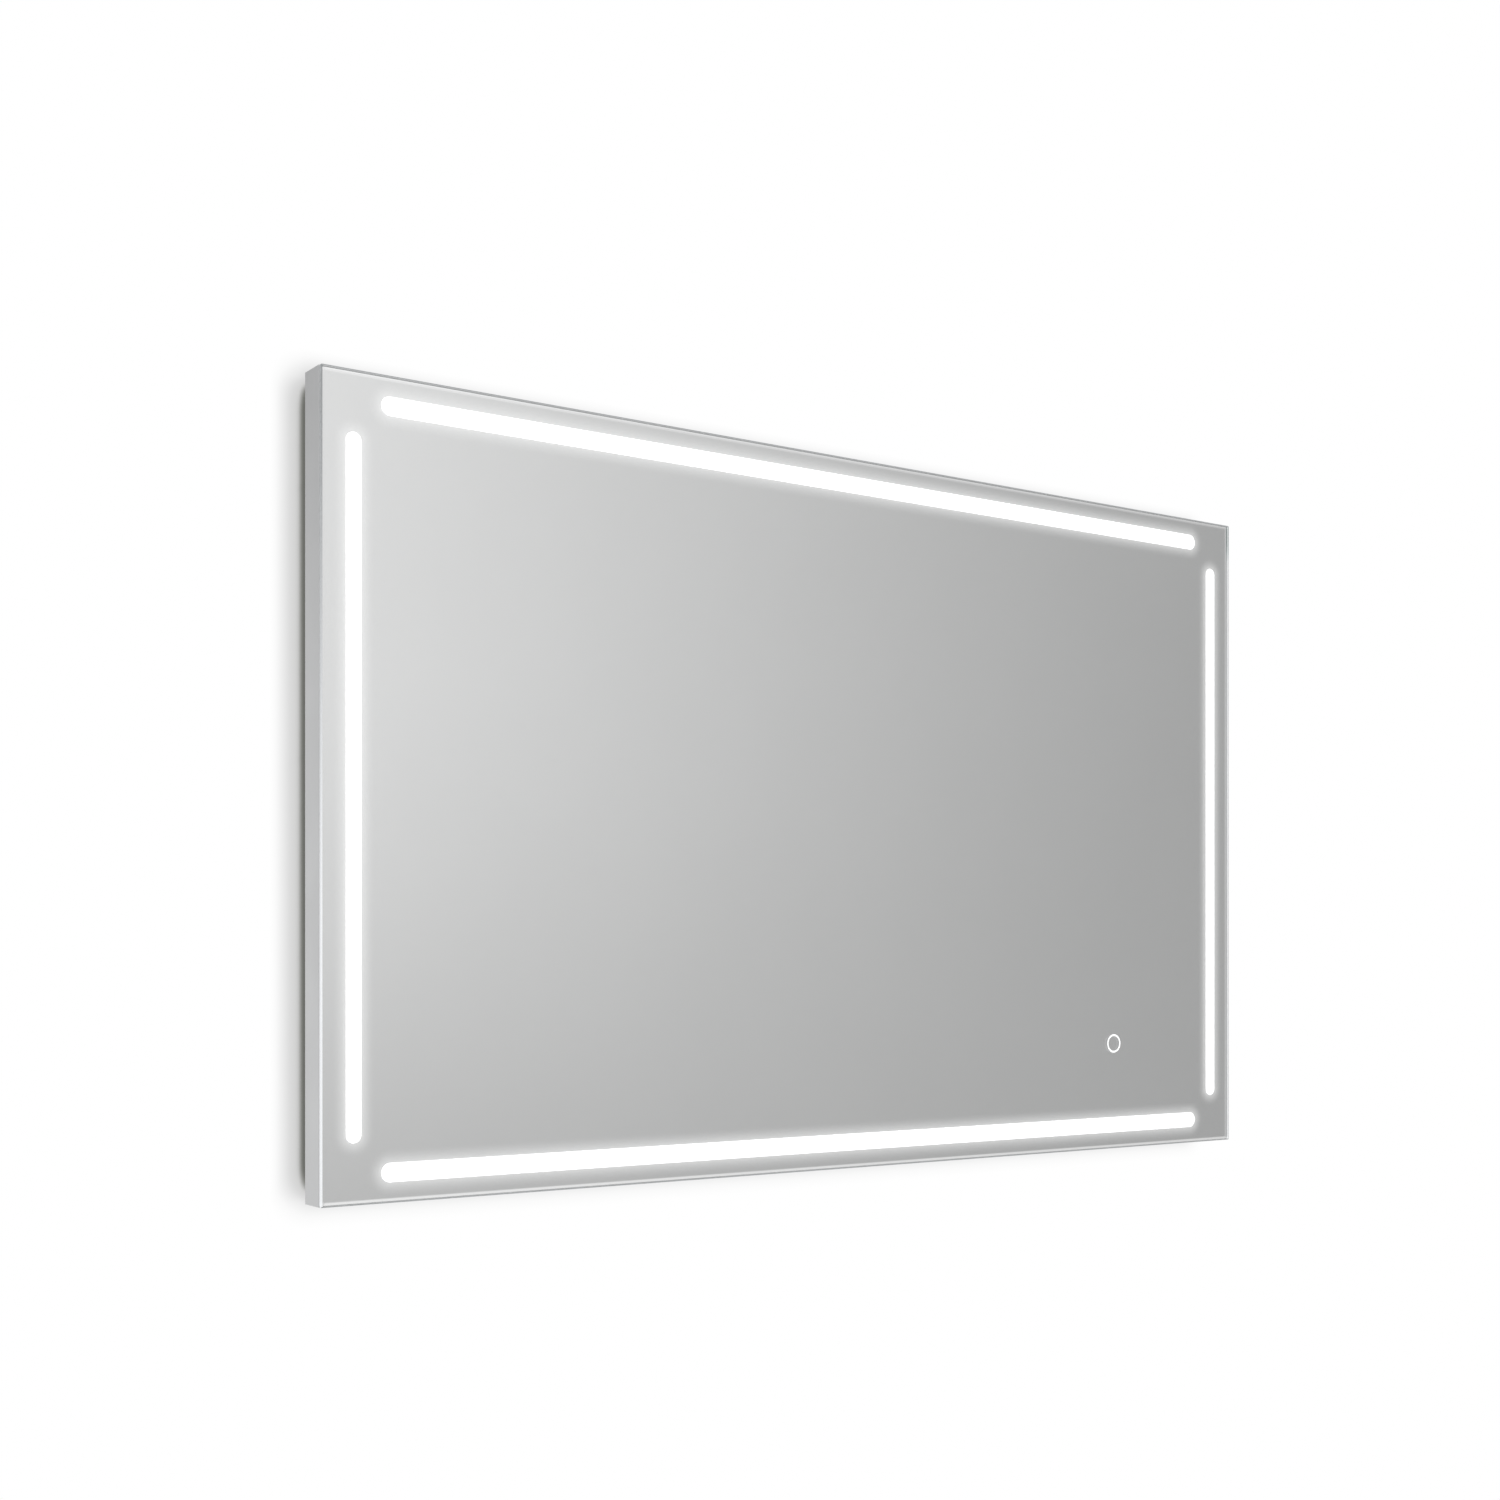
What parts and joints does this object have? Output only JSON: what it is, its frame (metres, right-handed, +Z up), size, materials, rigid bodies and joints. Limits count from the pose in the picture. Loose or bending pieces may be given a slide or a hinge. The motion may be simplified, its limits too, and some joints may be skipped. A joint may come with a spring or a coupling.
{
  "type": "lighted bathroom mirror",
  "caption": "Rectangular wall mirror with frosted light windows along its edges, a touch ring, a slim aluminium frame and a wall rail it lifts off.",
  "frame": {"origin": "middle of the wall rail's line of screw holes, on the rail's back face, in the plane of the wall", "axes": "+Z up, +X to the right as the viewer stands before the mirror, +Y into the wall; the mirror faces -Y"},
  "size_m": [1.1, 0.048, 0.7],
  "materials": {
    "pane_glass": "clear float glass with ground edges",
    "silver": "silvered, painted behind",
    "frame_aluminium": "satin, finely brushed along the bar",
    "plain_aluminium": "mill finish",
    "panel_paint": "light grey powder coat",
    "zinc_steel": "zinc plated",
    "opal": "opal acrylic, lit from behind",
    "tape_foam": "black foam tape",
    "strip_board": "white flexible circuit board",
    "chip": "phosphor",
    "circuit_board": "green circuit board",
    "case_plastic": "white moulded plastic",
    "black_rubber": "moulded rubber",
    "lead_sheath": "soft white sheath",
    "low_volt_lead": "soft black insulation",
    "brass": "bright"
  },
  "bodies": {
    "rail": {"wall_rail": "plain_aluminium"},
    "mirror": {"back_panel": "panel_paint", "cable_clips": "case_plastic", "cable_grommet": "black_rubber", "case_screws": "zinc_steel", "clamp_screws": "zinc_steel", "cord_clamp": "case_plastic", "corner_key_bottom_left": "zinc_steel", "corner_key_bottom_right": "zinc_steel", "corner_key_top_left": "zinc_steel", "corner_key_top_right": "zinc_steel", "corner_screws": "zinc_steel", "diffuser_bottom": "opal", "diffuser_left": "opal", "diffuser_right": "opal", "diffuser_top": "opal", "driver_board": "circuit_board", "driver_case": "case_plastic", "driver_lid": "case_plastic", "feed_lead": "low_volt_lead", "frame_bottom": "frame_aluminium", "frame_left": "frame_aluminium", "frame_right": "frame_aluminium", "frame_top": "frame_aluminium", "hanger_left": "plain_aluminium", "hanger_nuts": "zinc_steel", "hanger_right": "plain_aluminium", "hanger_screws": "zinc_steel", "light_channel_bottom": "plain_aluminium", "light_channel_left": "plain_aluminium", "light_channel_right": "plain_aluminium", "light_channel_top": "plain_aluminium", "light_chips_bottom": "chip", "light_chips_left": "chip", "light_chips_right": "chip", "light_chips_top": "chip", "light_strip_bottom": "strip_board", "light_strip_left": "strip_board", "light_strip_right": "strip_board", "light_strip_top": "strip_board", "link_leads": "low_volt_lead", "mains_lead": "lead_sheath", "mirror_glass": "pane_glass", "panel_screws": "zinc_steel", "sensor_lead": "low_volt_lead", "silvering": "silver", "tape_bottom": "tape_foam", "tape_left": "tape_foam", "tape_right": "tape_foam", "tape_top": "tape_foam", "terminal_block": "case_plastic", "terminal_box": "case_plastic", "terminal_lid": "case_plastic", "terminal_screws": "brass", "touch_board": "circuit_board", "touch_holder": "case_plastic", "touch_light_guide": "opal", "wall_buffer_left": "black_rubber", "wall_buffer_right": "black_rubber"}
  },
  "joints": [
    {"name": "lift_off", "type": "slide", "parent": "rail", "child": "mirror", "axis": [0, 0, 1], "range_m": [0, 0.012]}
  ]
}
